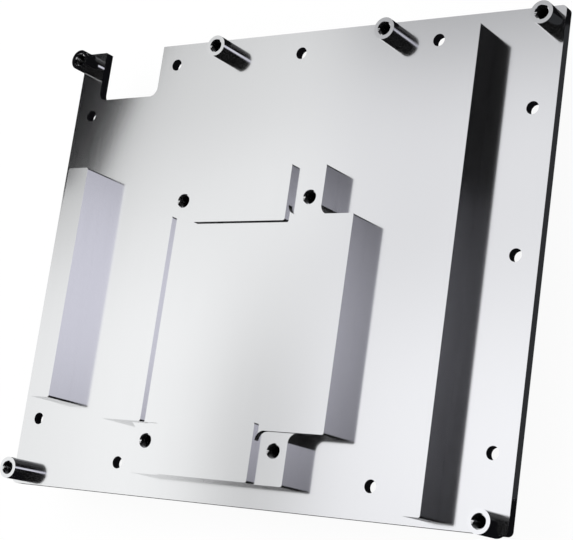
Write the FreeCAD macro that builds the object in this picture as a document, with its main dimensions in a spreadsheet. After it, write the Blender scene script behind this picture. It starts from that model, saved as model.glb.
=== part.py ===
import FreeCAD, Part
import math
import os
import re
import Sketcher

# GPU water block: a nickel-plated copper cold plate with raised contact pads, six card posts,
# a jet plate over its cooling fins, a seal and a cover with two tapped ports, held by screws.
# The outlines are drawn from the plate's lower left corner, seen from the card's side, with
# height 0 on the plate's front face. The block rests on its cover, pads up.

SIZES = {
    # Cold plate outline
    "plate_length": 121.7,
    "plate_width": 100.0,
    "base_thickness": 2.2,
    "plate_corner": 1.0,
    "notch_left": 6.05,
    "notch_right": 23.2,
    "notch_depth": 11.6,
    "notch_corner": 2.0,
    # Contact island under the graphics chip, and the two ears that carry its fixing holes
    "gpu_offset": 4.55,
    "island_reach_left": 28.0,
    "island_reach_right": 27.6,
    "island_width": 43.6,
    "island_height": 5.65,
    "ear_length": 38.5,
    "ear_span": 64.6,
    "ear_height": 5.0,
    "ear_bottom_inset": 4.3,
    "ear_fillet": 2.0,
    "pad_corner": 0.4,
    # Pads for the memory chips
    "memory_height": 6.4,
    "memory_length": 23.6,
    "memory_span": 64.4,
    "memory_width": 11.8,
    "memory_left_width": 10.8,
    # Pads for the power stages
    "side_pad_left": 6.8,
    "side_pad_width": 5.7,
    "side_pad_bottom": 18.5,
    "side_pad_top_inset": 29.9,
    "side_pad_height": 6.4,
    "bar_right_inset": 14.35,
    "bar_width": 4.15,
    "bar_bottom": 1.2,
    "bar_top_inset": 4.7,
    "bar_height": 6.5,
    # Tapped holes round the chip
    "gpu_hole_spacing_across": 32.25,
    "gpu_hole_spacing_up": 51.06,
    "gpu_hole_bore": 3.1,
    "gpu_hole_depth": 4.2,
    # Plain holes round the rim
    "rim_bore": 2.6,
    "rim_top_inset": 4.7,
    "rim_top_first": 27.8,
    "rim_top_middle_offset": 0.65,
    "rim_top_right_inset": 27.1,
    "rim_right_inset": 4.8,
    "rim_right_low": 14.5,
    "rim_right_middle": 51.2,
    "rim_right_top_inset": 20.2,
    "rim_bottom_inset": 6.5,
    "rim_bottom_reach": 27.0,
    "rim_bottom_right_inset": 29.5,
    "rim_left_inset": 4.6,
    "rim_left_low": 14.5,
    "rim_left_top_inset": 15.3,
    # Card posts
    "post_diameter": 4.6,
    "post_height": 5.0,
    "post_bore": 3.0,
    "post_bore_depth": 4.4,
    "post_spigot": 3.2,
    "post_spigot_gap": 0.04,
    "post_left_inset": 2.7,
    "post_right_inset": 2.6,
    "post_top_inset": 3.2,
    "post_bottom_inset": 2.8,
    "post_top_second": 42.2,
    "post_top_third_inset": 37.1,
    "post_low_right_inset_across": 3.4,
    "post_low_right_inset_up": 1.8,
    # Cooling chamber and fins, cut from the plate's back
    "chamber_length": 44.0,
    "chamber_width": 33.0,
    "chamber_corner": 2.0,
    "chamber_floor": 2.65,
    "fin_thickness": 0.6,
    "fin_pitch": 1.2,
    "fin_count": 25,
    "fin_gap": 0.1,
    # Jet plate
    "jet_thickness": 1.0,
    "jet_gap": 0.15,
    "jet_slot_length": 30.0,
    "jet_slot_width": 3.0,
    "jet_outlet_width": 2.4,
    "outlet_width": 4.0,
    # Cover
    "cover_left": 5.6,
    "cover_right_inset": 13.1,
    "cover_top_inset": 16.0,
    "cover_thickness": 13.0,
    "cover_corner": 4.0,
    "cover_chamfer": 0.8,
    "channel_depth": 5.5,
    "inlet_width": 7.0,
    "channel_wall": 1.4,
    "port_bore": 11.8,
    "port_spacing": 22.0,
    "port_right_inset": 31.7,
    # Seal
    "groove_width": 2.2,
    "groove_depth": 1.5,
    "groove_corner": 4.0,
    "groove_margin": 3.4,
    "groove_right_margin": 3.2,
    "seal_gap": 0.15,
    "seal_round": 0.55,
    # Cover screws
    "screw_diameter": 2.5,
    "screw_length": 14.0,
    "screw_head": 4.5,
    "screw_head_height": 2.5,
    "screw_socket": 2.0,
    "screw_socket_depth": 1.3,
    "screw_hole_gap": 0.2,
    "screw_thread_gap": 0.03,
    "screw_hole_extra": 0.5,
    "counterbore_gap": 0.25,
    "counterbore_depth": 2.9,
    "screw_side_inset": 5.5,
    "screw_bar_inset": 7.0,
    "screw_ear_spacing": 14.0,
    "screw_ear_gap": 0.3,
    "screw_ear_edge": 3.5,
}

# Places and lengths that follow from those sizes, each with its own cell in the sheet
PLACES = {
    "gpu_across": "plate_length / 2 - gpu_offset",
    "gpu_up": "ear_bottom_inset + ear_span / 2",
    "side_pad_length": "plate_width - side_pad_bottom - side_pad_top_inset",
    "bar_left": "plate_length - bar_right_inset - bar_width",
    "bar_length": "plate_width - bar_bottom - bar_top_inset",
    "rim_top_second": "plate_length / 2 + rim_top_middle_offset",
    "rim_top_third": "plate_length - rim_top_right_inset",
    "rim_right_high": "plate_width - rim_right_top_inset",
    "rim_bottom_first": "gpu_across - rim_bottom_reach",
    "rim_bottom_second": "plate_length - rim_bottom_right_inset",
    "rim_left_high": "plate_width - rim_left_top_inset",
    "post_top_third": "plate_length - post_top_third_inset",
    "port_across": "plate_length - port_right_inset",
    "groove_bottom": "gpu_up - chamber_width / 2 - groove_margin - groove_width / 2",
    "groove_top": "gpu_up + chamber_width / 2 + groove_margin + groove_width / 2",
    "counterbore": "screw_head + counterbore_gap * 2",
    "screw_ear_low": "groove_bottom - screw_ear_gap - counterbore / 2",
    "screw_ear_high": "groove_top + screw_ear_gap + counterbore / 2",
    "cover_right": "plate_length - cover_right_inset",
    "cover_bottom": "screw_ear_low - screw_ear_edge",
    "cover_top": "plate_width - cover_top_inset",
    "screw_side_low": "side_pad_bottom + screw_side_inset",
    "screw_side_middle": "side_pad_bottom + side_pad_length / 2",
    "screw_side_high": "side_pad_bottom + side_pad_length - screw_side_inset",
    "screw_bar_spacing": "(cover_top - cover_bottom - screw_bar_inset * 2) / 3",
    "screw_bar_first": "cover_bottom + screw_bar_inset",
    "screw_bar_second": "screw_bar_first + screw_bar_spacing",
    "screw_bar_third": "screw_bar_second + screw_bar_spacing",
    "screw_bar_fourth": "screw_bar_third + screw_bar_spacing",
}

document = FreeCAD.newDocument("gpu_water_block")
sheet = document.addObject("Spreadsheet::Sheet", "sizes")
for row, (alias, size) in enumerate([*SIZES.items(), *PLACES.items()], start=1):
    sheet.set("A%d" % row, alias)
    sheet.set("B%d" % row, "=%s" % size)
    sheet.setAlias("B%d" % row, alias)
document.recompute()

# Places that several pieces share, as expressions of the sizes above
PLATE_BACK = "-base_thickness"
COVER_OUTSIDE = "-base_thickness - cover_thickness"
LUG_OVERHANG = "max(0; post_diameter / 2 - post_low_right_inset_up)"
CHAMBER_CEILING = "island_height - chamber_floor"

CHAMBER = (
    "gpu_across - chamber_length / 2",
    "gpu_up - chamber_width / 2",
    "gpu_across + chamber_length / 2",
    "gpu_up + chamber_width / 2",
)
# Centre line of the seal, round the chamber and the ports
SEAL_PATH = (
    "gpu_across - chamber_length / 2 - groove_margin",
    "gpu_up - chamber_width / 2 - groove_margin",
    "port_across + port_bore / 2 + groove_right_margin",
    "gpu_up + chamber_width / 2 + groove_margin",
)

POSTS = {
    "post_top_left": ("post_left_inset", "plate_width - post_top_inset"),
    "post_top_middle_left": ("post_top_second", "plate_width - post_top_inset"),
    "post_top_middle_right": ("post_top_third", "plate_width - post_top_inset"),
    "post_top_right": ("plate_length - post_right_inset", "plate_width - post_top_inset"),
    "post_bottom_left": ("post_left_inset", "post_bottom_inset"),
    "post_bottom_right": ("plate_length - post_low_right_inset_across", "post_low_right_inset_up"),
}

GPU_HOLES = [
    (
        "gpu_across %s gpu_hole_spacing_across / 2" % side,
        "gpu_up %s gpu_hole_spacing_up / 2" % end,
    )
    for side in "-+"
    for end in "-+"
]

RIM_HOLES = [
    ("rim_top_first", "plate_width - rim_top_inset"),
    ("rim_top_second", "plate_width - rim_top_inset"),
    ("rim_top_third", "plate_width - rim_top_inset"),
    ("plate_length - rim_right_inset", "rim_right_low"),
    ("plate_length - rim_right_inset", "rim_right_middle"),
    ("plate_length - rim_right_inset", "rim_right_high"),
    ("rim_bottom_first", "rim_bottom_inset"),
    ("rim_bottom_second", "rim_bottom_inset"),
    ("rim_left_inset", "rim_left_low"),
    ("rim_left_inset", "rim_left_high"),
]

SIDE_PAD_MIDDLE = "side_pad_left + side_pad_width / 2"
BAR_SCREW_LINE = "bar_left + bar_width / 2"
COVER_SCREWS = {
    "cover_screw_side_low": (SIDE_PAD_MIDDLE, "screw_side_low"),
    "cover_screw_side_middle": (SIDE_PAD_MIDDLE, "screw_side_middle"),
    "cover_screw_side_high": (SIDE_PAD_MIDDLE, "screw_side_high"),
    "cover_screw_bar_first": (BAR_SCREW_LINE, "screw_bar_first"),
    "cover_screw_bar_second": (BAR_SCREW_LINE, "screw_bar_second"),
    "cover_screw_bar_third": (BAR_SCREW_LINE, "screw_bar_third"),
    "cover_screw_bar_fourth": (BAR_SCREW_LINE, "screw_bar_fourth"),
    "cover_screw_ear_low_left": ("gpu_across - screw_ear_spacing / 2", "screw_ear_low"),
    "cover_screw_ear_low_right": ("gpu_across + screw_ear_spacing / 2", "screw_ear_low"),
    "cover_screw_ear_high_left": ("gpu_across - screw_ear_spacing / 2", "screw_ear_high"),
    "cover_screw_ear_high_right": ("gpu_across + screw_ear_spacing / 2", "screw_ear_high"),
}

PORTS = [
    ("port_across", "gpu_up - port_spacing / 2"),
    ("port_across", "gpu_up + port_spacing / 2"),
]


def bound(expression):
    """The expression with each size's name pointing at its cell in the sheet."""
    names = "|".join([*SIZES, *PLACES])
    return re.sub(r"\b(%s)\b" % names, r"sizes.\1", str(expression))


def value(expression):
    """The number that an expression of the sizes comes to."""
    return float(sheet.evalExpression(bound(expression)))


def bind(feature, **properties):
    """Hold each named property of a feature to an expression of the sizes."""
    for name, expression in properties.items():
        feature.setExpression(name, bound(expression))


def seat(piece, across="0", up="0", height="0"):
    """Move a finished piece from the plate's corner frame to the frame at the block's foot."""
    piece.setExpression("Placement.Base.x", bound("%s - plate_length / 2" % across))
    piece.setExpression(
        "Placement.Base.y", bound("%s - (plate_width - %s) / 2" % (up, LUG_OVERHANG))
    )
    piece.setExpression(
        "Placement.Base.z", bound("%s + base_thickness + cover_thickness" % height)
    )


def new_body(label):
    """A body that holds one piece, under the label that names its file."""
    body = document.addObject("PartDesign::Body", label)
    body.Label = label
    seat(body)
    return body


def new_sketch(body, name, height="0"):
    """A sketch on the body's level plane, raised to a height."""
    sketch = body.newObject("Sketcher::SketchObject", name)
    level = next(item for item in body.Origin.OriginFeatures if item.Role == "XY_Plane")
    sketch.AttachmentSupport = [(level, "")]
    sketch.MapMode = "FlatFace"
    sketch.setExpression("AttachmentOffset.Base.z", bound(height))
    return sketch


def fix_point(sketch, line, end, across, up):
    """Hold one end of a sketch line, or a circle's centre, at a place given by expressions."""
    for direction, expression in (("DistanceX", across), ("DistanceY", up)):
        place = Sketcher.Constraint(direction, -1, 1, line, end, value(expression))
        number = sketch.addConstraint(place)
        sketch.setExpression("Constraints[%d]" % number, bound(expression))


def add_rectangle(sketch, left, bottom, right, top):
    """Add a rectangle with each corner at its own expressions."""
    corners = [(left, bottom), (right, bottom), (right, top), (left, top)]
    points = [FreeCAD.Vector(value(across), value(up), 0) for across, up in corners]
    first = sketch.GeometryCount
    for number in range(4):
        sketch.addGeometry(Part.LineSegment(points[number], points[(number + 1) % 4]), False)
    for number in range(4):
        following = first + (number + 1) % 4
        sketch.addConstraint(
            Sketcher.Constraint("Coincident", first + number, 2, following, 1)
        )
        fix_point(sketch, first + number, 1, *corners[number])


def add_rounded_rectangle(sketch, left, bottom, right, top, radius):
    """Add a rectangle with round corners: each side runs between the ends of two arcs."""
    x_low, x_high, y_low, y_high, r = (value(item) for item in (left, right, bottom, top, radius))
    centres = [
        (x_low + r, y_low + r, 180),
        (x_high - r, y_low + r, 270),
        (x_high - r, y_high - r, 0),
        (x_low + r, y_high - r, 90),
    ]
    first = sketch.GeometryCount
    for x, y, start in centres:
        circle = Part.Circle(FreeCAD.Vector(x, y, 0), FreeCAD.Vector(0, 0, 1), r)
        arc = Part.ArcOfCircle(circle, math.radians(start), math.radians(start + 90))
        sketch.addGeometry(arc, False)
    for number in range(4):
        arc_end = sketch.Geometry[first + number].EndPoint
        next_start = sketch.Geometry[first + (number + 1) % 4].StartPoint
        sketch.addGeometry(Part.LineSegment(arc_end, next_start), False)
    for number in range(4):
        side = first + 4 + number
        following = first + (number + 1) % 4
        sketch.addConstraint(Sketcher.Constraint("Tangent", first + number, 2, side, 1))
        sketch.addConstraint(Sketcher.Constraint("Tangent", side, 2, following, 1))
    for number, (across, up) in enumerate(
        (
            ("%s + %s" % (left, radius), "%s + %s" % (bottom, radius)),
            ("%s - (%s)" % (right, radius), "%s + %s" % (bottom, radius)),
            ("%s - (%s)" % (right, radius), "%s - (%s)" % (top, radius)),
            ("%s + %s" % (left, radius), "%s - (%s)" % (top, radius)),
        )
    ):
        fix_point(sketch, first + number, 3, across, up)
    size = sketch.addConstraint(Sketcher.Constraint("Radius", first, r))
    sketch.setExpression("Constraints[%d]" % size, bound(radius))


def add_circle(sketch, across, up, diameter):
    """Add a circle with its centre and diameter held by expressions."""
    centre = FreeCAD.Vector(value(across), value(up), 0)
    circle = Part.Circle(centre, FreeCAD.Vector(0, 0, 1), value(diameter) / 2)
    number = sketch.addGeometry(circle, False)
    fix_point(sketch, number, 3, across, up)
    size = sketch.addConstraint(Sketcher.Constraint("Diameter", number, value(diameter)))
    sketch.setExpression("Constraints[%d]" % size, bound(diameter))


def pad(body, sketch, length, down=False):
    """Raise a sketch into a solid, upward unless told otherwise."""
    feature = body.newObject("PartDesign::Pad", sketch.Name + "_pad")
    feature.Profile = sketch
    bind(feature, Length=length)
    feature.Reversed = down
    document.recompute()
    return feature


def pocket(body, sketch, depth=None, up=False):
    """Cut a sketch into the solid, downward unless told otherwise, and through if no depth is given."""
    before = body.Shape.Volume
    feature = body.newObject("PartDesign::Pocket", sketch.Name + "_pocket")
    feature.Profile = sketch
    feature.Reversed = up
    if depth is None:
        feature.Type = "ThroughAll"
    else:
        bind(feature, Length=depth)
    document.recompute()
    if body.Shape.Volume >= before:
        raise RuntimeError("%s cuts nothing" % feature.Name)
    return feature


def pad_rectangle(body, name, sides, base, length, down=False):
    """Raise one rectangle, given by its left, bottom, right and top, from a base height."""
    sketch = new_sketch(body, name, base)
    add_rectangle(sketch, *sides)
    return pad(body, sketch, length, down)


def pocket_rectangles(body, name, rectangles, base, depth=None, up=False):
    """Cut a set of rectangles from a base height."""
    sketch = new_sketch(body, name, base)
    for sides in rectangles:
        add_rectangle(sketch, *sides)
    return pocket(body, sketch, depth, up)


def pocket_circles(body, name, places, diameter, base, depth=None, up=False):
    """Cut a set of like round holes from a base height."""
    sketch = new_sketch(body, name, base)
    for across, up_the_plate in places:
        add_circle(sketch, across, up_the_plate, diameter)
    return pocket(body, sketch, depth, up)


def round_upright_edges(body, name, radius, places):
    """Round the upright edges whose lower ends are at the given places and heights."""
    solid = body.Tip
    wanted = [FreeCAD.Vector(*(value(item) for item in place)) for place in places]
    edges = []
    for number, edge in enumerate(solid.Shape.Edges, start=1):
        ends = [vertex.Point for vertex in edge.Vertexes]
        if len(ends) != 2 or abs(ends[0].z - ends[1].z) < 0.01:
            continue
        foot = min(ends, key=lambda point: point.z)
        if any(foot.distanceToPoint(place) < 0.01 for place in wanted):
            edges.append("Edge%d" % number)
    if len(edges) != len(places):
        raise RuntimeError("%s finds %d edges" % (name, len(edges)))
    feature = body.newObject("PartDesign::Fillet", name)
    feature.Base = (solid, edges)
    bind(feature, Radius=radius)
    document.recompute()
    return feature


def corners(sides, low):
    """The lower ends of a rectangle's four upright edges."""
    left, bottom, right, top = sides
    return [(across, up, low) for across in (left, right) for up in (bottom, top)]


def cross_corners(wide, tall, low):
    """The lower ends of the four inner edges of a cross made of a wide and a tall rectangle."""
    return corners((tall[0], wide[1], tall[2], wide[3]), low)


def build_cold_plate():
    """Nickel-plated copper plate: pads on the card's side, fins in a chamber on the back."""
    body = new_body("cold_plate")

    sketch = new_sketch(body, "plate_outline", PLATE_BACK)
    add_rounded_rectangle(sketch, "0", "0", "plate_length", "plate_width", "plate_corner")
    pad(body, sketch, "base_thickness")

    sketch = new_sketch(body, "corner_lug", PLATE_BACK)
    add_circle(sketch, *POSTS["post_bottom_right"], "post_diameter")
    pad(body, sketch, "base_thickness")

    # The notch runs out past the plate's top edge, so only its two inner corners are round
    sketch = new_sketch(body, "notch")
    add_rounded_rectangle(
        sketch,
        "notch_left",
        "plate_width - notch_depth",
        "notch_right",
        "plate_width + notch_corner * 2",
        "notch_corner",
    )
    pocket(body, sketch)

    island = (
        "gpu_across - island_reach_left",
        "gpu_up - island_width / 2",
        "gpu_across + island_reach_right",
        "gpu_up + island_width / 2",
    )
    ears = (
        "gpu_across - ear_length / 2",
        "gpu_up - ear_span / 2",
        "gpu_across + ear_length / 2",
        "gpu_up + ear_span / 2",
    )
    memory = (
        "gpu_across - memory_length / 2",
        "gpu_up - memory_span / 2",
        "gpu_across + memory_length / 2",
        "gpu_up + memory_span / 2",
    )
    pad_rectangle(body, "island_foot", island, "0", "ear_height")
    pad_rectangle(body, "ears", ears, "0", "ear_height")
    round_upright_edges(body, "ear_fillets", "ear_fillet", cross_corners(island, ears, "0"))
    rise = "island_height - ear_height"
    pad_rectangle(body, "island_top", island, "ear_height", rise)
    pad_rectangle(body, "memory_foot", memory, "ear_height", rise)
    round_upright_edges(
        body, "memory_fillets", "ear_fillet", cross_corners(island, memory, "ear_height")
    )

    rise = "memory_height - island_height"
    upper = (memory[0], "gpu_up + memory_span / 2 - memory_width", memory[2], memory[3])
    lower = (memory[0], memory[1], memory[2], "gpu_up - memory_span / 2 + memory_width")
    left = (island[0], island[1], "gpu_across - island_reach_left + memory_left_width", island[3])
    pad_rectangle(body, "memory_upper", upper, "island_height", rise)
    pad_rectangle(body, "memory_lower", lower, "island_height", rise)
    pad_rectangle(body, "memory_left", left, "island_height", rise)

    side_pad = (
        "side_pad_left",
        "side_pad_bottom",
        "side_pad_left + side_pad_width",
        "side_pad_bottom + side_pad_length",
    )
    bar = ("bar_left", "bar_bottom", "bar_left + bar_width", "bar_bottom + bar_length")
    pad_rectangle(body, "side_pad", side_pad, "0", "side_pad_height")
    pad_rectangle(body, "bar", bar, "0", "bar_height")

    # Where pads stand on each other, an edge runs up from the lowest pad that it belongs to
    uprights = corners(island, "0") + corners(ears, "0")
    uprights += corners(side_pad, "0") + corners(bar, "0")
    uprights += corners(memory, "ear_height")
    uprights += corners((memory[0], lower[3], memory[2], upper[1]), "island_height")
    uprights += corners(left, "island_height")[2:]
    round_upright_edges(body, "pad_corners", "pad_corner", uprights)

    pocket_circles(
        body, "gpu_holes", GPU_HOLES, "gpu_hole_bore", "ear_height", "gpu_hole_depth"
    )
    pocket_circles(body, "rim_holes", RIM_HOLES, "rim_bore", "0")
    pocket_circles(body, "post_seats", POSTS.values(), "post_spigot", "0")
    pocket_circles(
        body,
        "screw_threads",
        COVER_SCREWS.values(),
        "screw_diameter + screw_thread_gap * 2",
        PLATE_BACK,
        "screw_length + screw_hole_extra - (cover_thickness - counterbore_depth)",
        up=True,
    )

    sketch = new_sketch(body, "chamber", PLATE_BACK)
    add_rounded_rectangle(sketch, *CHAMBER, "chamber_corner")
    pocket(body, sketch, "base_thickness + " + CHAMBER_CEILING, up=True)

    fin_row = "(fin_count - 1) * fin_pitch"
    first_fin = (
        "gpu_across - (%s + fin_thickness) / 2" % fin_row,
        CHAMBER[1],
        "gpu_across - (%s - fin_thickness) / 2" % fin_row,
        CHAMBER[3],
    )
    fin_height = "base_thickness + %s - jet_thickness - fin_gap" % CHAMBER_CEILING
    fin = pad_rectangle(body, "fin", first_fin, CHAMBER_CEILING, fin_height, down=True)
    fins = body.newObject("PartDesign::LinearPattern", "fins")
    fins.Originals = [fin]
    fins.Direction = (fin.Profile[0], ["H_Axis"])
    bind(fins, Length=fin_row, Occurrences="fin_count")
    body.Tip = fins
    return body


def build_jet_plate():
    """Thin steel plate over the fins: water enters at its middle slot and leaves at both ends."""
    body = new_body("jet_plate")
    sides = (
        "gpu_across - chamber_length / 2 + jet_gap",
        "gpu_up - chamber_width / 2 + jet_gap",
        "gpu_across + chamber_length / 2 - jet_gap",
        "gpu_up + chamber_width / 2 - jet_gap",
    )
    sketch = new_sketch(body, "jet_outline", PLATE_BACK)
    add_rounded_rectangle(sketch, *sides, "chamber_corner - jet_gap")
    pad(body, sketch, "jet_thickness")
    slot_left = "gpu_across - jet_slot_length / 2"
    slot_right = "gpu_across + jet_slot_length / 2"
    near = "(chamber_width / 2 - outlet_width)"
    far = "(chamber_width / 2 - outlet_width + jet_outlet_width)"
    slots = [
        (slot_left, "gpu_up - jet_slot_width / 2", slot_right, "gpu_up + jet_slot_width / 2"),
        (slot_left, "gpu_up - " + far, slot_right, "gpu_up - " + near),
        (slot_left, "gpu_up + " + near, slot_right, "gpu_up + " + far),
    ]
    top = PLATE_BACK + " + jet_thickness"
    pocket_rectangles(body, "jet_slots", slots, top)
    return body


def ring_sides(offset):
    """The seal's centre line, moved outward by an offset."""
    left, bottom, right, top = SEAL_PATH
    return (
        "%s - (%s)" % (left, offset),
        "%s - (%s)" % (bottom, offset),
        "%s + %s" % (right, offset),
        "%s + %s" % (top, offset),
    )


def add_ring(sketch, half_width):
    """Add the outer and inner outlines of a ring along the seal's centre line."""
    add_rounded_rectangle(sketch, *ring_sides(half_width), "groove_corner + " + half_width)
    inner = "-(%s)" % half_width
    add_rounded_rectangle(sketch, *ring_sides(inner), "groove_corner + " + inner)


def build_seal():
    """Rubber ring, squeezed in its groove between the cover and the plate."""
    body = new_body("cover_seal")
    sketch = new_sketch(body, "seal_outline", PLATE_BACK)
    add_ring(sketch, "(groove_width / 2 - seal_gap)")
    ring = pad(body, sketch, "groove_depth", down=True)
    faces = [
        "Face%d" % number
        for number, face in enumerate(ring.Shape.Faces, start=1)
        if face.BoundBox.ZLength < 0.01
    ]
    rounding = body.newObject("PartDesign::Fillet", "seal_rounding")
    rounding.Base = (ring, faces)
    bind(rounding, Radius="seal_round")
    return body


def build_cover():
    """Black cover: water channels and the seal's groove inside, two tapped ports outside."""
    body = new_body("top_cover")
    sketch = new_sketch(body, "cover_outline", PLATE_BACK)
    add_rounded_rectangle(
        sketch, "cover_left", "cover_bottom", "cover_right", "cover_top", "cover_corner"
    )
    block = pad(body, sketch, "cover_thickness", down=True)
    outside = value(COVER_OUTSIDE)
    outer_face = next(
        "Face%d" % number
        for number, face in enumerate(block.Shape.Faces, start=1)
        if abs(face.BoundBox.ZMax - outside) < 0.01
    )
    edge = body.newObject("PartDesign::Chamfer", "cover_edge")
    edge.Base = (block, [outer_face])
    bind(edge, Size="cover_chamfer")
    document.recompute()

    sketch = new_sketch(body, "seal_groove", PLATE_BACK)
    add_ring(sketch, "groove_width / 2")
    pocket(body, sketch, "groove_depth")

    # The inlet runs from the upper port to the jet plate's middle slot, and the outlet gathers
    # the water from both ends of the fins, round the inlet's closed end, to the lower port
    port_left = "port_across - port_bore / 2"
    port_right = "port_across + port_bore / 2"
    half_inlet = "inlet_width / 2"
    inlet = [
        (
            "gpu_across - jet_slot_length / 2",
            "gpu_up - " + half_inlet,
            port_left,
            "gpu_up + " + half_inlet,
        ),
        (
            port_left,
            "gpu_up - " + half_inlet,
            port_right,
            "gpu_up + port_spacing / 2 + port_bore / 2",
        ),
    ]
    outlet_inner = "(chamber_width / 2 - outlet_width)"
    leg_right = "gpu_across - jet_slot_length / 2 - channel_wall"
    outlet = [
        (CHAMBER[0], CHAMBER[1], port_left, "gpu_up - " + outlet_inner),
        (
            port_left,
            "gpu_up - port_spacing / 2 - port_bore / 2",
            port_right,
            "gpu_up - %s - channel_wall" % half_inlet,
        ),
        (CHAMBER[0], "gpu_up - " + outlet_inner, leg_right, "gpu_up + " + outlet_inner),
        (CHAMBER[0], "gpu_up + " + outlet_inner, "gpu_across + jet_slot_length / 2", CHAMBER[3]),
    ]
    for name, runs in (("inlet", inlet), ("outlet", outlet)):
        for number, sides in enumerate(runs, start=1):
            pocket_rectangles(
                body, "%s_run_%d" % (name, number), [sides], PLATE_BACK, "channel_depth"
            )
    pocket_circles(body, "ports", PORTS, "port_bore", PLATE_BACK)

    places = COVER_SCREWS.values()
    pocket_circles(
        body, "screw_holes", places, "screw_diameter + screw_hole_gap * 2", PLATE_BACK
    )
    pocket_circles(
        body,
        "counterbores",
        places,
        "counterbore",
        COVER_OUTSIDE,
        "counterbore_depth",
        up=True,
    )
    return body


def cylinder(name, diameter, length, height="0"):
    """An upright cylinder that starts at a height."""
    solid = document.addObject("Part::Cylinder", name)
    bind(solid, Radius="(%s) / 2" % diameter, Height=length)
    solid.setExpression("Placement.Base.z", bound(height))
    return solid


def joined(name, base, tool):
    """Two solids fused into one."""
    fusion = document.addObject("Part::Fuse", name)
    fusion.Base = base
    fusion.Tool = tool
    return fusion


def cut(label, base, tool):
    """One solid cut from another, under the label that names its file."""
    result = document.addObject("Part::Cut", label)
    result.Base = base
    result.Tool = tool
    result.Label = label
    return result


def build_post(label, across, up):
    """Card post: a round nickel-plated body with a tapped bore, its spigot set in the plate."""
    shaft = cylinder(label + "_shaft", "post_diameter", "post_height")
    spigot = cylinder(
        label + "_spigot",
        "post_spigot - post_spigot_gap * 2",
        "base_thickness",
        PLATE_BACK,
    )
    whole = joined(label + "_whole", shaft, spigot)
    bore = cylinder(
        label + "_bore", "post_bore", "post_bore_depth", "post_height - post_bore_depth"
    )
    post = cut(label, whole, bore)
    seat(post, across, up)
    return post


def build_screw(label, across, up):
    """Socket head screw from below: its head rests in the cover, its thread in the plate."""
    head = cylinder(label + "_head", "screw_head", "screw_head_height", "-screw_head_height")
    shank = cylinder(label + "_shank", "screw_diameter", "screw_length")
    whole = joined(label + "_whole", head, shank)
    socket = document.addObject("Part::Prism", label + "_socket")
    socket.Polygon = 6
    bind(socket, Circumradius="screw_socket / sqrt(3)", Height="screw_socket_depth")
    socket.setExpression("Placement.Base.z", bound("-screw_head_height"))
    screw = cut(label, whole, socket)
    seat(screw, across, up, COVER_OUTSIDE + " + counterbore_depth")
    return screw


pieces = [build_cold_plate(), build_jet_plate(), build_seal(), build_cover()]
pieces += [build_post(label, across, up) for label, (across, up) in POSTS.items()]
pieces += [build_screw(label, across, up) for label, (across, up) in COVER_SCREWS.items()]
document.recompute()

for item in document.Objects:
    if "Invalid" in item.State or "Error" in item.State:
        raise RuntimeError("%s did not recompute: %s" % (item.Name, item.State))
for piece in pieces:
    if piece.Shape.isNull() or not piece.Shape.isValid():
        raise RuntimeError("%s has no valid shape" % piece.Label)

os.makedirs("parts", exist_ok=True)
for piece in pieces:
    piece.Shape.exportStep("parts/%s.step" % piece.Label)
    print(piece.Label, len(piece.Shape.Solids), round(piece.Shape.Volume, 2))
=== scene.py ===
import math

import bmesh
import bpy
from bpy.props import FloatProperty, FloatVectorProperty, IntProperty, PointerProperty
from mathutils import Matrix, Vector


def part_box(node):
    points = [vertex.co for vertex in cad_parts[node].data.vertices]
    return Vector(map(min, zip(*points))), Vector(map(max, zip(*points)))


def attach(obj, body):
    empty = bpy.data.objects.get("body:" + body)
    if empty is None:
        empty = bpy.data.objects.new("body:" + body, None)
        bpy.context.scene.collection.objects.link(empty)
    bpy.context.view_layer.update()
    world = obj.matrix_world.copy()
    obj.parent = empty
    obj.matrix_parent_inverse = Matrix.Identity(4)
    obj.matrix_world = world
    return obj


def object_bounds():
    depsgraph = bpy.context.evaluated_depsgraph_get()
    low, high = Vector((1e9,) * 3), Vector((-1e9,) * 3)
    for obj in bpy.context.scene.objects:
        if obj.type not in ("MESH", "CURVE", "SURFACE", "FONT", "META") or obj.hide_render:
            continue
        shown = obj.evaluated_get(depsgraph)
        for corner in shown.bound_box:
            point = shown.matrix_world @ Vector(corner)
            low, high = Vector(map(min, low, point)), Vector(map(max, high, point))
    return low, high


bl_info = {
    "name": "GPU Water Block",
    "version": (1, 0, 0),
    "blender": (4, 5, 0),
    "location": "View3D > Sidebar > Water Block",
    "description": "Finishes, threads and studio for a plated graphics card block",
    "category": "Object",
}

MM = 0.001

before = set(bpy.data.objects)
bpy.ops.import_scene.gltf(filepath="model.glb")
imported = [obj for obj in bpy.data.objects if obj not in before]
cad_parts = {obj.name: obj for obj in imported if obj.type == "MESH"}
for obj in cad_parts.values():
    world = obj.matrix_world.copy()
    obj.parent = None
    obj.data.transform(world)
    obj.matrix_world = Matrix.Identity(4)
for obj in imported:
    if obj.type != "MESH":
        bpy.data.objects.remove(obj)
cad_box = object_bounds()
plate_low, plate_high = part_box("cold_plate")

POSTS = [name for name in sorted(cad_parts) if name.startswith("post_")]
SCREWS = [name for name in sorted(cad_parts) if name.startswith("cover_screw_")]

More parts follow.
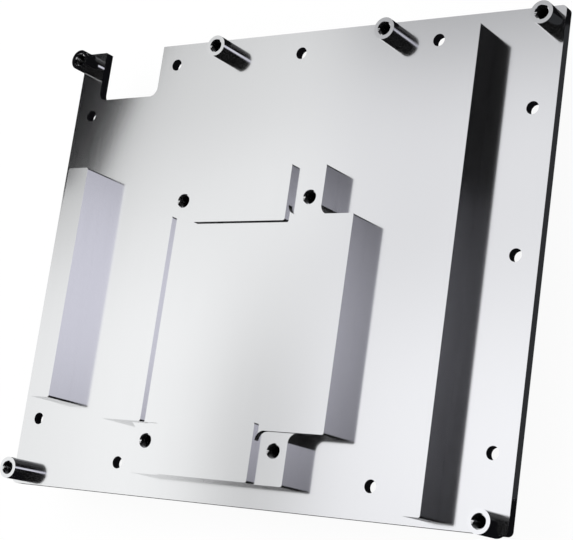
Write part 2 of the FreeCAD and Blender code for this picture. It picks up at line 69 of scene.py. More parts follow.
# Sizes of the solids that the threads and the studio follow, in mm. A place on the
# plate is measured from its left edge and from its bottom edge.
PLATE_WIDTH = 100.0
POST_BORE_RADIUS = 1.5
POST_BORE_DEPTH = 4.4
CHIP_MIDDLE = (56.3, 36.6)
CHIP_HOLE_REACH = (16.125, 25.53)
CHIP_BORE_RADIUS = 1.55
CHIP_BORE_DEPTH = 4.2
EARS_BELOW_BAR = 1.5
PORT_RADIUS = 5.9
PORT_DEPTH = 7.5
PORTS = {"port_outlet_thread": (90.0, 25.6), "port_inlet_thread": (90.0, 47.6)}
RIM_HOLES = (
    (27.8, 95.3),
    (61.5, 95.3),
    (94.6, 95.3),
    (116.9, 14.5),
    (116.9, 51.2),
    (116.9, 79.8),
    (29.3, 6.5),
    (92.2, 6.5),
    (4.6, 14.5),
    (4.6, 84.7),
)

# Sizes of the finishes' patterns, in mm
COPPER_PASSES = 0.35
BRASS_PASSES = 0.2
PLATING_CLOUD = 18
# How far round a place the painted shade looks for walls, in mm
PAINTED_SHADE_REACH = 4
ACETAL_SPECK = 0.5
ACETAL_ARCS = 0.8
SHEET_LINES = 0.3
SCREW_LINES = 0.15
RUBBER_BLOOM = 0.8
PAPER_FIBRE = 2

# A wave texture's phase, in radians, for one unit of its scale
WAVE_PHASE = 20

# The teeth at the mouth of a fine thread: place and width in turns, and length in
# thread depths. Then how thick a tooth is at the wall and at its tip, in mm.
THREAD_ENDS = ((0.493, 0.03, 2.0), (0.538, 0.02, 1.3))
TOOTH_FOOT = 0.12
TOOTH_TIP = 0.05


def srgb(code):
    """A hex colour as linear red, green and blue."""
    parts = [int(code[k : k + 2], 16) / 255 for k in (1, 3, 5)]
    return [p / 12.92 if p <= 0.04045 else ((p + 0.055) / 1.055) ** 2.4 for p in parts]


# Sizes and colours that a user would change


class PlatingSettings(bpy.types.PropertyGroup):
    colour: FloatVectorProperty(
        name="Nickel colour",
        description="Colour of the bright nickel plating",
        subtype="COLOR",
        size=3,
        min=0,
        max=1,
        default=srgb("#e8e8ea"),
    )
    roughness: FloatProperty(
        name="Plating roughness",
        description="How far the plating blurs a reflection",
        subtype="FACTOR",
        min=0,
        max=1,
        default=0.124,
    )


class ThreadSettings(bpy.types.PropertyGroup):
    pitch: FloatProperty(
        name="M3 pitch",
        description="Height between two turns of the M3 threads",
        subtype="DISTANCE",
        unit="LENGTH",
        default=0.5 * MM,
    )
    depth: FloatProperty(
        name="M3 thread depth",
        description="How far an M3 thread stands in from the wall of its bore",
        subtype="DISTANCE",
        unit="LENGTH",
        default=0.27 * MM,
    )
    port_pitch: FloatProperty(
        name="Port pitch",
        description="Height between two turns of the G1/4 threads",
        subtype="DISTANCE",
        unit="LENGTH",
        default=1.337 * MM,
    )
    port_depth: FloatProperty(
        name="Port thread depth",
        description="How far a port's thread stands in from the wall of its bore",
        subtype="DISTANCE",
        unit="LENGTH",
        default=0.45 * MM,
    )
    steps: IntProperty(
        name="Steps a turn",
        description="Flat faces round one turn of a thread",
        min=12,
        max=96,
        default=36,
    )


class CoverSettings(bpy.types.PropertyGroup):
    colour: FloatVectorProperty(
        name="Acetal colour",
        description="Colour of the black acetal cover",
        subtype="COLOR",
        size=3,
        min=0,
        max=1,
        default=srgb("#1b1b1d"),
    )
    steel_colour: FloatVectorProperty(
        name="Steel colour",
        description="Colour of the stainless screws",
        subtype="COLOR",
        size=3,
        min=0,
        max=1,
        default=srgb("#c9cacc"),
    )


class StageSettings(bpy.types.PropertyGroup):
    floor_colour: FloatVectorProperty(
        name="Floor colour",
        description="Colour of the studio floor",
        subtype="COLOR",
        size=3,
        min=0,
        max=1,
        default=srgb("#fbfbfb"),
    )
    lens: FloatProperty(
        name="Lens",
        description="Focal length of the camera on a 36 mm sensor, in millimetres",
        min=10,
        max=300,
        default=98.54,
    )


# Nodes and materials


def add_node(tree, kind, inputs=None, **settings):
    """One node with its settings; each input takes a value or another node's output."""
    node = tree.nodes.new(kind)
    for name, setting in settings.items():
        setattr(node, name, setting)
    for key, given in (inputs or {}).items():
        if isinstance(given, bpy.types.NodeSocket):
            tree.links.new(given, node.inputs[key])
        else:
            node.inputs[key].default_value = given
    return node


def new_material(name):
    """An empty material, its node tree and its output."""
    material = bpy.data.materials.new(name)
    material.use_nodes = True
    material.node_tree.nodes.clear()
    output = add_node(material.node_tree, "ShaderNodeOutputMaterial")
    return material, material.node_tree, output


def plating_material(name, colour, milling, blur):
    """Bright nickel over machined copper or brass.

    The plating is level enough to mirror its surroundings and just rough enough to
    soften them. Under it the end mill's fine passes still show as a faint grain, whose
    width is given in mm. Deep in a narrow bore, and in other closed places, the colour
    is painted near black: painted shade.
    """
    material, tree, output = new_material(name)
    place = add_node(tree, "ShaderNodeTexCoord").outputs["Object"]
    # The passes run up the block, so the grain is drawn out that way
    fineness = 1 / (milling * MM)
    passes = add_node(
        tree,
        "ShaderNodeMapping",
        {"Vector": place, "Scale": (fineness, 0.02 * fineness, 0.3 * fineness)},
    )
    grain = add_node(
        tree,
        "ShaderNodeTexNoise",
        {"Vector": passes.outputs[0], "Scale": 1.0, "Detail": 2.0},
    )
    # Slow clouding of the bath's finish
    cloud = add_node(
        tree,
        "ShaderNodeTexNoise",
        {"Vector": place, "Scale": 1 / (PLATING_CLOUD * MM), "Detail": 1.0},
    )
    tint = add_node(
        tree,
        "ShaderNodeMix",
        {
            "Factor": cloud.outputs["Fac"],
            "A": (*colour, 1),
            "B": (*[c * 0.985 for c in colour], 1),
        },
        data_type="RGBA",
    )
    rough = add_node(
        tree,
        "ShaderNodeMapRange",
        {
            "Value": grain.outputs["Fac"],
            "From Min": 0.3,
            "From Max": 0.7,
            "To Min": blur * 0.95,
            "To Max": blur * 1.06,
        },
    )
    # How open the place is: a narrow bore is closed, and a corner between walls is not
    openness = add_node(
        tree,
        "ShaderNodeAmbientOcclusion",
        {"Distance": PAINTED_SHADE_REACH * MM},
        samples=8,
    )
    # Painted shade: closed places, where shade falls, are painted near black
    painted_shade_mask = add_node(
        tree,
        "ShaderNodeMapRange",
        {"Value": openness.outputs["AO"], "From Min": 0.20, "From Max": 0.40},
        interpolation_type="SMOOTHSTEP",
    )
    # The nickel's colour with the painted shade mixed in
    nickel_and_painted_shade = add_node(
        tree,
        "ShaderNodeMix",
        {
            "Factor": painted_shade_mask.outputs["Result"],
            "A": (*srgb("#181817"), 1),
            "B": tint.outputs["Result"],
        },
        data_type="RGBA",
    )
    relief = add_node(
        tree,
        "ShaderNodeBump",
        {"Height": grain.outputs["Fac"], "Strength": 0.02, "Distance": 0.004 * MM},
    )
    shader = add_node(
        tree,
        "ShaderNodeBsdfPrincipled",
        {
            "Base Color": nickel_and_painted_shade.outputs["Result"],
            "Metallic": 1.0,
            "Roughness": rough.outputs["Result"],
            "Normal": relief.outputs["Normal"],
        },
    )
    tree.links.new(shader.outputs[0], output.inputs["Surface"])
    return material


def acetal_material(settings):
    """Black acetal, milled and left as cut.

    It is a soft black with a low sheen. The face mill leaves fine arcs about 0.4 mm
    apart, drawn here 0.8 mm apart so that they show.
    """
    material, tree, output = new_material("milled_black_acetal")
    place = add_node(tree, "ShaderNodeTexCoord").outputs["Object"]
    speck = add_node(
        tree,
        "ShaderNodeTexNoise",
        {"Vector": place, "Scale": 1 / (ACETAL_SPECK * MM), "Detail": 3.0},
    )
    arcs = add_node(
        tree,
        "ShaderNodeTexWave",
        {
            "Vector": place,
            "Scale": math.tau / (WAVE_PHASE * ACETAL_ARCS * MM),
            "Distortion": 1.5,
            "Detail": 1.0,
        },
        wave_type="RINGS",
        rings_direction="Z",
    )
    shade = add_node(
        tree,
        "ShaderNodeMix",
        {
            "Factor": speck.outputs["Fac"],
            "A": (*[c * 0.8 for c in settings.colour], 1),
            "B": (*[c * 1.25 for c in settings.colour], 1),
        },
        data_type="RGBA",
    )
    rough = add_node(
        tree,
        "ShaderNodeMapRange",
        {"Value": arcs.outputs["Fac"], "To Min": 0.40, "To Max": 0.48},
    )
    relief = add_node(
        tree,
        "ShaderNodeBump",
        {"Height": arcs.outputs["Fac"], "Strength": 0.12, "Distance": 0.02 * MM},
    )
    shader = add_node(
        tree,
        "ShaderNodeBsdfPrincipled",
        {
            "Base Color": shade.outputs["Result"],
            "Roughness": rough.outputs["Result"],
            "IOR": 1.48,
            "Normal": relief.outputs["Normal"],
        },
    )
    tree.links.new(shader.outputs[0], output.inputs["Surface"])
    return material


def steel_material(settings, name, across):
    """Stainless steel with the fine turned or rolled lines of its making.

    The lines catch the light as thin streaks and stand across mm apart.
    """
    material, tree, output = new_material(name)
    place = add_node(tree, "ShaderNodeTexCoord").outputs["Object"]
    fineness = 1 / (across * MM)
    lines = add_node(
        tree,
        "ShaderNodeMapping",
        {"Vector": place, "Scale": (0.1 * fineness, 0.1 * fineness, fineness)},
    )
    grain = add_node(
        tree,
        "ShaderNodeTexNoise",
        {"Vector": lines.outputs[0], "Scale": 1.0, "Detail": 2.0},
    )
    shade = add_node(
        tree,
        "ShaderNodeMix",
        {
            "Factor": grain.outputs["Fac"],
            "A": (*settings.steel_colour, 1),
            "B": (*[c * 0.9 for c in settings.steel_colour], 1),
        },
        data_type="RGBA",
    )
    rough = add_node(
        tree,
        "ShaderNodeMapRange",
        {"Value": grain.outputs["Fac"], "To Min": 0.22, "To Max": 0.36},
    )
    shader = add_node(
        tree,
        "ShaderNodeBsdfPrincipled",
        {
            "Base Color": shade.outputs["Result"],
            "Metallic": 1.0,
            "Roughness": rough.outputs["Result"],
        },
    )
    tree.links.new(shader.outputs[0], output.inputs["Surface"])
    return material


def rubber_material():
    """Moulded nitrile rubber: a flat black with a faint bloom."""
    material, tree, output = new_material("moulded_nitrile_rubber")
    place = add_node(tree, "ShaderNodeTexCoord").outputs["Object"]
    bloom = add_node(
        tree,
        "ShaderNodeTexNoise",
        {"Vector": place, "Scale": 1 / (RUBBER_BLOOM * MM), "Detail": 2.0},
    )
    shade = add_node(
        tree,
        "ShaderNodeMix",
        {
            "Factor": bloom.outputs["Fac"],
            "A": (*srgb("#161616"), 1),
            "B": (*srgb("#262626"), 1),
        },
        data_type="RGBA",
    )
    shader = add_node(
        tree,
        "ShaderNodeBsdfPrincipled",
        {
            "Base Color": shade.outputs["Result"],
            "Roughness": 0.7,
            "IOR": 1.52,
        },
    )
    tree.links.new(shader.outputs[0], output.inputs["Surface"])
    return material


def finish(node_name, material):
    """Give a node of the frame its material."""
    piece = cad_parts[node_name]
    piece.data.materials.clear()
    piece.data.materials.append(material)


def mesh_object(name, bm, material):
    """An object at the origin, made of a finished mesh in one material."""
    mesh = bpy.data.meshes.new(name)
    bm.to_mesh(mesh)
    bm.free()
    mesh.materials.append(material)
    made = bpy.data.objects.new(name, mesh)
    bpy.context.scene.collection.objects.link(made)
    return made


def add_piece(name, bm, material):
    """Make a finished mesh into a piece that goes with the block."""
    piece = mesh_object(name, bm, material)
    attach(piece, "root")


# Threads


def add_ridge(bm, centre, profile, start, rise, turns, steps):
    """Sweep a profile of (radius, height) round an upright axis and close its ends."""
    cosine, sine = math.cos(start), math.sin(start)
    corners = [
        bm.verts.new((centre[0] + radius * cosine, centre[1] + radius * sine, height))
        for radius, height in profile
    ]
    sides = [bm.edges.new(pair) for pair in zip(corners, corners[1:] + corners[:1])]
    count = max(1, round(steps * turns))
    swept = bmesh.ops.spin(
        bm,
        geom=corners + sides,
        cent=(*centre, 0),
        axis=(0, 0, 1),
        dvec=(0, 0, rise * turns / count),
        angle=math.tau * turns,
        steps=count,
        use_merge=False,
        use_duplicate=False,
    )
    bm.faces.new(corners)
    last = [item for item in swept["geom_last"] if isinstance(item, bmesh.types.BMVert)]
    bmesh.ops.contextual_create(bm, geom=last)


def bore_thread(centre, wall, low, high, pitch, depth, steps):
    """The thread inside one bore: a ridge from low to just below high.

    Its two flanks meet at 60 degrees.
    """
    bm = bmesh.new()
    flank = depth * math.tan(math.radians(30))
    crest = (pitch - 2 * flank) * 0.3
    half = crest / 2 + flank
    lead = 0.25 * pitch
    turns = math.floor((high - low - lead - 2 * half) / pitch)
    foot = high - lead - half - turns * pitch
    profile = [
        (wall, foot - half),
        (wall - depth, foot - crest / 2),
        (wall - depth, foot + crest / 2),
        (wall, foot + half),
    ]
    add_ridge(bm, centre, profile, math.pi, pitch, turns, steps)
    return bm


def add_thread_ends(bm, centre, wall, high, depth, steps):
    """Small teeth where a fine thread breaks out at the mouth of its bore.

    They are drawn longer than the thread is deep, so that they show.
    """
    for place, width, length in THREAD_ENDS:
        crest = wall - length * depth
        profile = [
            (wall, high - TOOTH_FOOT * MM),
            (crest, high - TOOTH_TIP * MM),
            (crest, high),
            (wall, high),
        ]
        add_ridge(bm, centre, profile, math.tau * place, 0.0, width, steps)


def close_thread(bm):
    """Merge a thread's doubles and turn its faces outwards."""
    bmesh.ops.remove_doubles(bm, verts=bm.verts[:], dist=1e-7)
    bmesh.ops.recalc_face_normals(bm, faces=bm.faces[:])
    return bm


def block_point(across, up):
    """A place on the plate, measured in mm from its left edge and its bottom edge."""
    return plate_low.x + across * MM, plate_high.y - (PLATE_WIDTH - up) * MM


# Operators, one for each piece or group of like pieces


class WATERBLOCK_OT_plating(bpy.types.Operator):
    """Plate the cold plate and the card posts with bright nickel"""

    bl_idname = "waterblock.plating"
    bl_label = "Nickel plating"

    def execute(self, context):
        settings = context.scene.waterblock_plating
        copper = plating_material(
            "nickel_plated_milled_copper",
            settings.colour,
            COPPER_PASSES,
            settings.roughness,
        )
        # Turning leaves the posts smoother than the milled plate
        brass = plating_material(
            "nickel_plated_turned_brass",
            settings.colour,
            BRASS_PASSES,
            settings.roughness * 0.6,
        )
        finish("cold_plate", copper)
        for name in POSTS:
            finish(name, brass)
        return {"FINISHED"}


class WATERBLOCK_OT_cover(bpy.types.Operator):
    """Finish the acetal cover, its seal, the jet plate and the cover's screws"""

    bl_idname = "waterblock.cover"
    bl_label = "Cover and its screws"

    def execute(self, context):
        settings = context.scene.waterblock_cover
        finish("top_cover", acetal_material(settings))
        finish("cover_seal", rubber_material())
        rolled = steel_material(settings, "rolled_stainless_sheet", SHEET_LINES)
        finish("jet_plate", rolled)
        turned = steel_material(settings, "turned_stainless_screw", SCREW_LINES)
        for name in SCREWS:
            finish(name, turned)
        return {"FINISHED"}


class WATERBLOCK_OT_post_threads(bpy.types.Operator):
    """Cut the M3 thread in each card post"""

    bl_idname = "waterblock.post_threads"
    bl_label = "Threads in the posts"

    def execute(self, context):
        settings = context.scene.waterblock_threads
        brass = bpy.data.materials["nickel_plated_turned_brass"]
        for name in POSTS:
            low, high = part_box(name)
            centre = ((low.x + high.x) / 2, (low.y + high.y) / 2)
            wall = POST_BORE_RADIUS * MM
            depth, steps = settings.depth, settings.steps
            bm = bore_thread(
                centre,
                wall,
                high.z - POST_BORE_DEPTH * MM,
                high.z,
                settings.pitch,
                depth,
                steps,
            )
            add_thread_ends(bm, centre, wall, high.z, depth, steps)
            add_piece(name + "_thread", close_thread(bm), brass)
        return {"FINISHED"}


class WATERBLOCK_OT_chip_threads(bpy.types.Operator):
    """Cut the M3 threads in the four blind holes round the graphics chip"""

    bl_idname = "waterblock.chip_threads"
    bl_label = "Threads round the chip"

    def execute(self, context):
        settings = context.scene.waterblock_threads
        copper = bpy.data.materials["nickel_plated_milled_copper"]
        wall = CHIP_BORE_RADIUS * MM
        ear_top = plate_high.z - EARS_BELOW_BAR * MM
        depth, steps = settings.depth, settings.steps
        # Lower left, upper left, lower right and upper right of the chip
        sides = ((-1, -1), (-1, 1), (1, -1), (1, 1))
        for number, (across, up) in enumerate(sides, start=1):
            centre = block_point(
                CHIP_MIDDLE[0] + across * CHIP_HOLE_REACH[0],
                CHIP_MIDDLE[1] + up * CHIP_HOLE_REACH[1],
            )
            bm = bore_thread(
                centre,
                wall,
                ear_top - CHIP_BORE_DEPTH * MM,
                ear_top,
                settings.pitch,
                depth,
                steps,
            )
            add_thread_ends(bm, centre, wall, ear_top, depth, steps)
            add_piece(
                "chip_hole_thread_%d" % number,
                close_thread(bm),
                copper,
            )
        return {"FINISHED"}


class WATERBLOCK_OT_port_threads(bpy.types.Operator):
    """Cut the G1/4 threads in the cover's two ports"""

    bl_idname = "waterblock.port_threads"
    bl_label = "Threads in the ports"

    def execute(self, context):
        settings = context.scene.waterblock_threads
        acetal = bpy.data.materials["milled_black_acetal"]
        low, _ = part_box("top_cover")
        for name, place in PORTS.items():
            bm = bore_thread(
                block_point(*place),
                PORT_RADIUS * MM,
                low.z,
                low.z + PORT_DEPTH * MM,
                settings.port_pitch,
                settings.port_depth,
                settings.steps * 2,
            )
            add_piece(name, close_thread(bm), acetal)
        return {"FINISHED"}


# Studio


# How bright the main soft box is from the block's near end to its far end, in two
# halves, each a faint tint and stops of (place, light)
SOFT_BOX_HALVES = {
    "near_half": (
        (0.995, 1.005, 0.995),
        (
            (0.00, 1.13),
            (0.19, 1.15),
            (0.225, 1.12),
            (0.25, 1.09),
            (0.28, 1.04),
            (0.31, 0.995),
            (0.34, 0.945),
            (0.37, 0.875),
            (0.40, 0.81),
            (0.45, 0.81),
            (0.60, 0.50),
            (0.85, 0.25),
        ),
    ),
    "far_half": (
        (0.993, 1.0, 1.014),
        (
            (0.06, 1.06),
            (0.12, 1.09),
            (0.17, 1.055),
            (0.20, 1.01),
            (0.225, 0.96),
            (0.25, 0.905),
            (0.28, 0.885),
            (0.33, 0.895),
            (0.37, 0.872),
            (0.41, 0.755),
            (0.45, 0.50),
            (0.60, 0.30),
            (0.85, 0.20),
        ),
    ),
}

# The studio as the metal mirrors it, one step a line: a name, how it is worked out, and
# from what. A direction is read as its place on a level ceiling one unit above the
# block, across the block and up the block. FADE goes smoothly between two places from
# one strength to another.
STUDIO_STEPS = (
    ("rise", "MAXIMUM", "Z", 0.02),
    ("across", "DIVIDE", "X", "rise"),
    ("up", "DIVIDE", "Y", "rise"),
    ("across_squared", "MULTIPLY", "across", "across"),
    ("up_squared", "MULTIPLY", "up", "up"),
    ("reach_squared", "ADD", "across_squared", "up_squared"),
    ("reach", "SQRT", "reach_squared"),
    ("bearing", "ARCTAN2", "up", "across"),
    # Main soft box over the block's left: its two halves, its edges and a dim gap
    ("half", "FADE", "across", -0.73, -0.67, 0.0, 1.0),
    ("skew", "FADE", "across", -0.87, -0.72, 0.145, 0.0),
    ("near_place", "ADD", "up", "skew"),
    ("near_edge", "FADE", "near_place", -0.08, -0.01, 0.0, 1.0),
    ("left_edge", "FADE", "across", -1.35, -1.08, 0.0, 1.0),
    ("right_edge", "FADE", "across", -0.45, -0.10, 1.0, 0.0),
    ("left_dim", "FADE", "across", -0.99, -0.86, 0.87, 1.0),
    ("right_rise", "FADE", "across", -0.62, -0.52, 1.0, 1.06),
    ("gap_left", "FADE", "across", -0.81, -0.745, 0.0, 0.50),
    ("gap_right", "FADE", "across", -0.735, -0.65, 1.0, 0.0),
    ("gap_far", "FADE", "up", 0.10, 0.33, 1.0, 0.0),
    ("gap", "MULTIPLY", "gap_left", "gap_right", "gap_far"),
    ("gap_light", "SUBTRACT", 1.0, "gap"),
    ("middle_left", "FADE", "across", -0.84, -0.72, 0.0, 0.12),
    ("middle_right", "FADE", "across", -0.71, -0.68, 1.0, 0.0),
    ("middle_near", "FADE", "up", 0.24, 0.36, 0.0, 1.0),
    ("middle", "MULTIPLY", "middle_left", "middle_right", "middle_near"),
    ("middle_light", "ADD", 1.0, "middle"),
    ("corner_left", "FADE", "across", -0.99, -0.93, 0.35, 0.0),
    ("corner_near", "FADE", "up", 0.22, 0.34, 0.0, 1.0),
    ("corner", "MULTIPLY", "corner_left", "corner_near"),
    ("corner_light", "SUBTRACT", 1.0, "corner"),
    ("box_sides", "MULTIPLY", "near_edge", "left_edge", "right_edge"),
    ("box_edges", "MULTIPLY", "box_sides", "left_dim", "right_rise"),
    ("soft_box", "MULTIPLY", "box_edges", "gap_light", "middle_light", "corner_light"),
    # Strip light beyond the block's right side, for its right-hand walls and the posts
    ("strip_start", "FADE", "across", 0.616, 0.671, 0.0, 0.74),
    ("strip_end", "FADE", "across", 0.67, 0.86, 0.0, 0.245),
    ("strip_width", "ADD", "strip_start", "strip_end"),
    ("strip_near", "FADE", "up", -0.033, 0.192, 0.0, 1.0),
    ("strip_slant", "MULTIPLY", "across", 0.28),
    ("strip_place", "SUBTRACT", "up", "strip_slant"),
    ("strip_far", "FADE", "strip_place", 0.01, 0.21, 1.0, 0.0),
    ("strip", "MULTIPLY", "strip_width", "strip_near", "strip_far"),
    # Light straight overhead, a dim far side, and the room's pale walls all round
    ("off_across", "SUBTRACT", "across", 0.03),
    ("off_across_squared", "MULTIPLY", "off_across", "off_across"),
    ("off_up", "SUBTRACT", "up", 0.08),
    ("off_up_squared", "MULTIPLY", "off_up", "off_up"),
    ("off_squared", "ADD", "off_across_squared", "off_up_squared"),
    ("overhead", "FADE", "off_squared", 0.026, 0.09, 0.85, 0.0),
    ("far_side", "FADE", "bearing", 0.75, 1.4, 0.003, 0.06),
    ("walls", "FADE", "reach", 1.9, 2.6, 0.0, 0.85),
    ("room", "MAXIMUM", "overhead", "walls", "far_side"),
)
STRIP_TINT = (1.02, 1.02, 1.12)
EVEN_LIGHT = 0.8
WHITE = (1, 1, 1, 1)

# Level sheets of the studio, in mm on the plate: left, bottom, right and top of each.
# The floor comes first. The dark sheets of painted shade after it lie just above the
# floor, and the round ones hang just below the plate.
FLOOR = ((-3000, -3000, 3100, 3100),)
PAINTED_SHADE_ROUND_BLOCK = (
    (-20, -20, -0.5, 120),
    (-0.5, -20, 143, 1.4),
    (-0.5, 98.5, 143, 120),
    (117.5, 1.4, 143, 8),
    (6, 80, 45, 98.5),
)
PAINTED_SHADE_BESIDE_EDGE = ((117.5, 8, 143, 102.5),)
SHADE_SHEET_LIFT = 0.05
EDGE_SHEET_LIFT = 0.1
HOLE_SHADE_DROP = 0.1
HOLE_SHADE_RADIUS = 1.4

# One flag hangs over the notched corner, one stands to the right of the far corner:
# corners in mm across and up the plate and above the floor
HIGH_FLAGS = {
    "flag_over_corner": (
        (-240, 105.2, 140.2),
        (-240, 212, 140.2),
        (-76, 212, 140.2),
        (-109, 105.2, 140.2),
    ),
    "flag_right_of_corner": (
        (150, 150, 20),
        (150, 80, 20),
        (150, 80, 88),
        (150, 150, 88),
    ),
}

# The white paper's share of its own white, where it is seen; the rest takes the shadow
PAPER_WHITE = 0.93

# Lamp for the matt surfaces and the shadow: place and side in m, power in W
LAMP_PLACE = (-0.25, 0.15, 0.8)
LAMP_SIDE = 0.6
LAMP_POWER = 3.0

# The camera's place in mm, and the ways its right, its top and its back face
CAMERA_PLACE = (188.321, -64.417, 267.006)
CAMERA_AXES = (
    (0.8166778, 0.1409232, -0.5596231),
    (-0.0007329, 0.9699788, 0.2431885),
    (0.5770934, -0.1981965, 0.7922634),
)


def build_world(world):
    """Even soft light, and the lights and dark gaps that the metal mirrors."""
    world.use_nodes = True
    tree = world.node_tree
    tree.nodes.clear()
    place = add_node(tree, "ShaderNodeTexCoord").outputs["Generated"]
    heading = add_node(tree, "ShaderNodeSeparateXYZ", {0: place})
    found = {axis: heading.outputs[axis] for axis in "XYZ"}
    for name, operation, *given in STUDIO_STEPS:
        values = [found.get(value, value) for value in given]
        if operation == "FADE":
            keys = ("Value", "From Min", "From Max", "To Min", "To Max")
            fade = add_node(
                tree,
                "ShaderNodeMapRange",
                dict(zip(keys, values)),
                interpolation_type="SMOOTHSTEP",
            )
            found[name] = fade.outputs["Result"]
            continue
        total = values[0]
        for value in values[1:] or [0.0]:
            step = add_node(
                tree, "ShaderNodeMath", {0: total, 1: value}, operation=operation
            )
            total = step.outputs[0]
        found[name] = total

    # A ramp's colours stop at 1, so each is scaled down by its brightest part, and back
    # up after the ramp
    halves = []
    for tint, stops in SOFT_BOX_HALVES.values():
        first, last = stops[0][0], stops[-1][0]
        brightest = max(light for _, light in stops) * max(tint)
        spread = add_node(
            tree,
            "ShaderNodeMapRange",
            {"Value": found["up"], "From Min": first, "From Max": last},
        )
        ramp_node = add_node(
            tree, "ShaderNodeValToRGB", {"Fac": spread.outputs["Result"]}
        )
        ramp = ramp_node.color_ramp
        ramp.interpolation = "CARDINAL"
        while len(ramp.elements) < len(stops):
            ramp.elements.new(0.5)
        for element, (at, light) in zip(ramp.elements, stops):
            element.position = (at - first) / (last - first)
            element.color = (*[light * part / brightest for part in tint], 1)
        scaled = add_node(
            tree,
            "ShaderNodeVectorMath",
            {0: ramp_node.outputs["Color"], "Scale": brightest},
            operation="SCALE",
        )
        halves.append(scaled.outputs[0])
    main = add_node(
        tree,
        "ShaderNodeMix",
        {"Factor": found["half"], "A": halves[0], "B": halves[1]},
        data_type="RGBA",
    )

    # The brightest of the room, the main soft box and the strip light
    room = found["room"]
    grey = add_node(tree, "ShaderNodeCombineColor", {0: room, 1: room, 2: room})
    seen = grey.outputs[0]
    for colour, strength in (
        (main.outputs["Result"], found["soft_box"]),
        (STRIP_TINT, found["strip"]),
    ):
        layer = add_node(
            tree,
            "ShaderNodeVectorMath",
            {0: colour, "Scale": strength},
            operation="SCALE",
        )
        joined = add_node(
            tree,
            "ShaderNodeMix",
            {"Factor": 1.0, "A": seen, "B": layer.outputs[0]},
            data_type="RGBA",
            blend_type="LIGHTEN",
        )
        seen = joined.outputs["Result"]

    path = add_node(tree, "ShaderNodeLightPath")
    even, plain, mirrored = (
        add_node(tree, "ShaderNodeBackground", {"Color": colour, "Strength": strength})
        for colour, strength in ((WHITE, EVEN_LIGHT), (WHITE, 1.0), (seen, 1.0))
    )
    for_camera = add_node(
        tree,
        "ShaderNodeMixShader",
        {0: path.outputs["Is Camera Ray"], 1: even.outputs[0], 2: plain.outputs[0]},
    )
    for_metal = add_node(
        tree,
        "ShaderNodeMixShader",
        {
            0: path.outputs["Is Glossy Ray"],
            1: for_camera.outputs[0],
            2: mirrored.outputs[0],
        },
    )
    output = add_node(tree, "ShaderNodeOutputWorld")
    tree.links.new(for_metal.outputs[0], output.inputs["Surface"])


def stage_sheet(name, bm, material):
    """A flat sheet that belongs to the studio, facing up or as its outline turns."""
    bm.normal_update()
    sheet = mesh_object(name, bm, material)
    return sheet


def rectangle_sheet(rectangles, height):
    """Level rectangles in mm on the plate, each by its left, bottom, right and top."""
    bm = bmesh.new()
    for left, bottom, right, top in rectangles:
        outline = ((left, bottom), (right, bottom), (right, top), (left, top))
        corners = [bm.verts.new((*block_point(*place), height)) for place in outline]
        bm.faces.new(corners)
    return bm


def clear_from_behind(tree, front, output):
    """Show a shader on a sheet's front, and let its back be seen through."""
    sided = add_node(
        tree,
        "ShaderNodeMixShader",
        {
            0: add_node(tree, "ShaderNodeNewGeometry").outputs["Backfacing"],
            1: front.outputs[0],
            2: add_node(tree, "ShaderNodeBsdfTransparent").outputs[0],
        },
    )
    tree.links.new(sided.outputs[0], output.inputs["Surface"])


def floor_material(settings):
    """Matt white paper: white to the camera and in the metal, with a soft shadow."""
    material, tree, output = new_material("white_paper_floor")
    place = add_node(tree, "ShaderNodeTexCoord").outputs["Object"]
    fibre = add_node(
        tree,
        "ShaderNodeTexNoise",
        {"Vector": place, "Scale": 1 / (PAPER_FIBRE * MM), "Detail": 2.0},
    )
    shade = add_node(
        tree,
        "ShaderNodeMix",
        {
            "Factor": fibre.outputs["Fac"],
            "A": (*settings.floor_colour, 1),
            "B": (*[c * 0.99 for c in settings.floor_colour], 1),
        },
        data_type="RGBA",
    )
    paper = add_node(tree, "ShaderNodeBsdfDiffuse", {"Color": shade.outputs["Result"]})
    white = add_node(tree, "ShaderNodeEmission", {"Color": WHITE, "Strength": 1.0})
    path = add_node(tree, "ShaderNodeLightPath")
    shown = add_node(
        tree,
        "ShaderNodeMath",
        {0: path.outputs["Is Camera Ray"], 1: path.outputs["Is Glossy Ray"]},
        operation="MAXIMUM",
    )
    share = add_node(
        tree,
        "ShaderNodeMath",
        {0: shown.outputs[0], 1: PAPER_WHITE},
        operation="MULTIPLY",
    )
    lit = add_node(
        tree,
        "ShaderNodeMixShader",
        {0: share.outputs[0], 1: paper.outputs[0], 2: white.outputs[0]},
    )
    # From below the paper is clear, so that the block's underside can be looked at
    clear_from_behind(tree, lit, output)
    return material


def dark_sheet_material(name, colour):
    """A dark sheet glowing faintly in its own colour, for studio flags and painted shade.
    """
    material, tree, output = new_material(name)
    cloth = add_node(
        tree, "ShaderNodeEmission", {"Color": (*srgb(colour), 1), "Strength": 1.0}
    )
    clear_from_behind(tree, cloth, output)
    return material


def only_in_mirrors(piece):
    """Show a studio flag, or a sheet of painted shade, in the metal alone."""
    piece.visible_camera = False
    piece.visible_diffuse = False
    piece.visible_shadow = False
    piece.visible_transmission = False


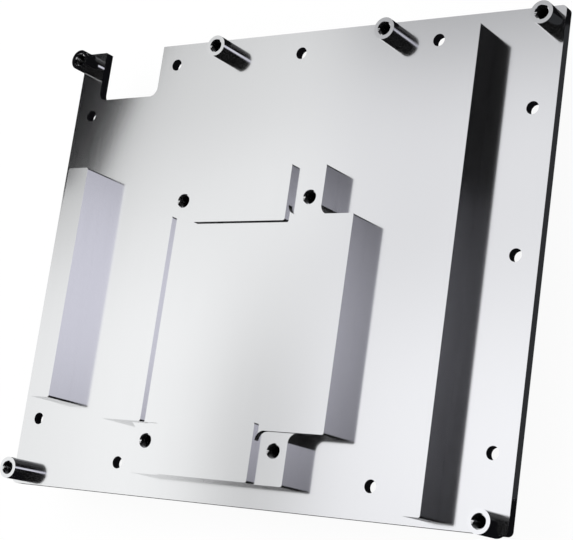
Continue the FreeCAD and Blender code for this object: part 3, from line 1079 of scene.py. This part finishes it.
class WATERBLOCK_OT_stage(bpy.types.Operator):
    """Set up the studio: floor, soft light, black flags, dark sheets of painted shade and
    the camera
    """

    bl_idname = "waterblock.stage"
    bl_label = "Studio"

    def execute(self, context):
        scene = context.scene
        settings = scene.waterblock_stage
        ground = cad_box[0].z
        floor = rectangle_sheet(FLOOR, ground)
        stage_sheet("floor", floor, floor_material(settings))

        # Painted shade: dark sheets round the block, beside its right edge and under its
        # rim holes, seen only in the metal, so that the edges, holes and posts mirror them
        # and not the white floor
        grey = dark_sheet_material("grey_painted_shade", "#323335")
        black = dark_sheet_material("black_flag_and_painted_shade", "#101012")
        round_block = rectangle_sheet(PAINTED_SHADE_ROUND_BLOCK, ground + SHADE_SHEET_LIFT * MM)
        only_in_mirrors(stage_sheet("painted_shade_round_block", round_block, black))
        beside_edge = rectangle_sheet(PAINTED_SHADE_BESIDE_EDGE, ground + EDGE_SHEET_LIFT * MM)
        only_in_mirrors(stage_sheet("painted_shade_beside_edge", beside_edge, grey))

        # Painted shade: black discs just below the rim holes, seen only in the metal
        under_holes = bmesh.new()
        below_plate = plate_low.z - HOLE_SHADE_DROP * MM
        for hole in RIM_HOLES:
            bmesh.ops.create_circle(
                under_holes,
                cap_ends=True,
                segments=24,
                radius=HOLE_SHADE_RADIUS * MM,
                matrix=Matrix.Translation((*block_point(*hole), below_plate)),
            )
        for face in under_holes.faces:
            if face.normal.z < 0:
                face.normal_flip()
        only_in_mirrors(stage_sheet("painted_shade_under_holes", under_holes, black))

        for name, corners in HIGH_FLAGS.items():
            bm = bmesh.new()
            outline = [
                bm.verts.new((*block_point(across, up), height * MM))
                for across, up, height in corners
            ]
            bm.faces.new(outline)
            only_in_mirrors(stage_sheet(name, bm, black))

        lamp = bpy.data.lights.new("soft_box", "AREA")
        lamp.shape = "SQUARE"
        lamp.size = LAMP_SIDE
        lamp.energy = LAMP_POWER
        soft_box = bpy.data.objects.new("soft_box", lamp)
        soft_box.location = LAMP_PLACE
        towards_block = -soft_box.location
        soft_box.rotation_euler = towards_block.to_track_quat("-Z", "Y").to_euler()
        soft_box.visible_glossy = False
        scene.collection.objects.link(soft_box)

        world = bpy.data.worlds.new("studio")
        scene.world = world
        build_world(world)

        camera = bpy.data.cameras.new("camera")
        camera.sensor_fit = "HORIZONTAL"
        camera.sensor_width = 36
        camera.lens = settings.lens
        camera.clip_start = 0.01
        camera.clip_end = 20
        viewer = bpy.data.objects.new("camera", camera)
        pose = Matrix(CAMERA_AXES).transposed().to_4x4()
        pose.translation = Vector(CAMERA_PLACE) * MM
        viewer.matrix_world = pose
        scene.collection.objects.link(viewer)
        scene.camera = viewer
        scene.view_settings.view_transform = "Standard"
        return {"FINISHED"}


class WATERBLOCK_PT_panel(bpy.types.Panel):
    """Lists the steps that finish the water block, with their sizes and colours"""

    bl_idname = "WATERBLOCK_PT_panel"
    bl_label = "Water block"
    bl_space_type = "VIEW_3D"
    bl_region_type = "UI"
    bl_category = "Water Block"

    def draw(self, context):
        for group in SETTINGS:
            box = self.layout.box()
            values = getattr(context.scene, group)
            for name in values.__annotations__:
                box.prop(values, name)
        for step in STEPS:
            self.layout.operator(step.bl_idname)


SETTINGS = {
    "waterblock_plating": PlatingSettings,
    "waterblock_threads": ThreadSettings,
    "waterblock_cover": CoverSettings,
    "waterblock_stage": StageSettings,
}
STEPS = (
    WATERBLOCK_OT_plating,
    WATERBLOCK_OT_cover,
    WATERBLOCK_OT_post_threads,
    WATERBLOCK_OT_chip_threads,
    WATERBLOCK_OT_port_threads,
    WATERBLOCK_OT_stage,
)


def register():
    for cls in (*SETTINGS.values(), *STEPS, WATERBLOCK_PT_panel):
        bpy.utils.register_class(cls)
    for name, cls in SETTINGS.items():
        setattr(bpy.types.Scene, name, PointerProperty(type=cls))


def unregister():
    for name in SETTINGS:
        delattr(bpy.types.Scene, name)
    for cls in reversed((*SETTINGS.values(), *STEPS, WATERBLOCK_PT_panel)):
        bpy.utils.unregister_class(cls)


def main():
    register()
    for step in STEPS:
        group, name = step.bl_idname.split(".")
        if getattr(getattr(bpy.ops, group), name)() != {"FINISHED"}:
            raise RuntimeError("%s did not finish" % step.bl_idname)
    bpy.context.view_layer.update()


if __name__ == "__main__":
    main()
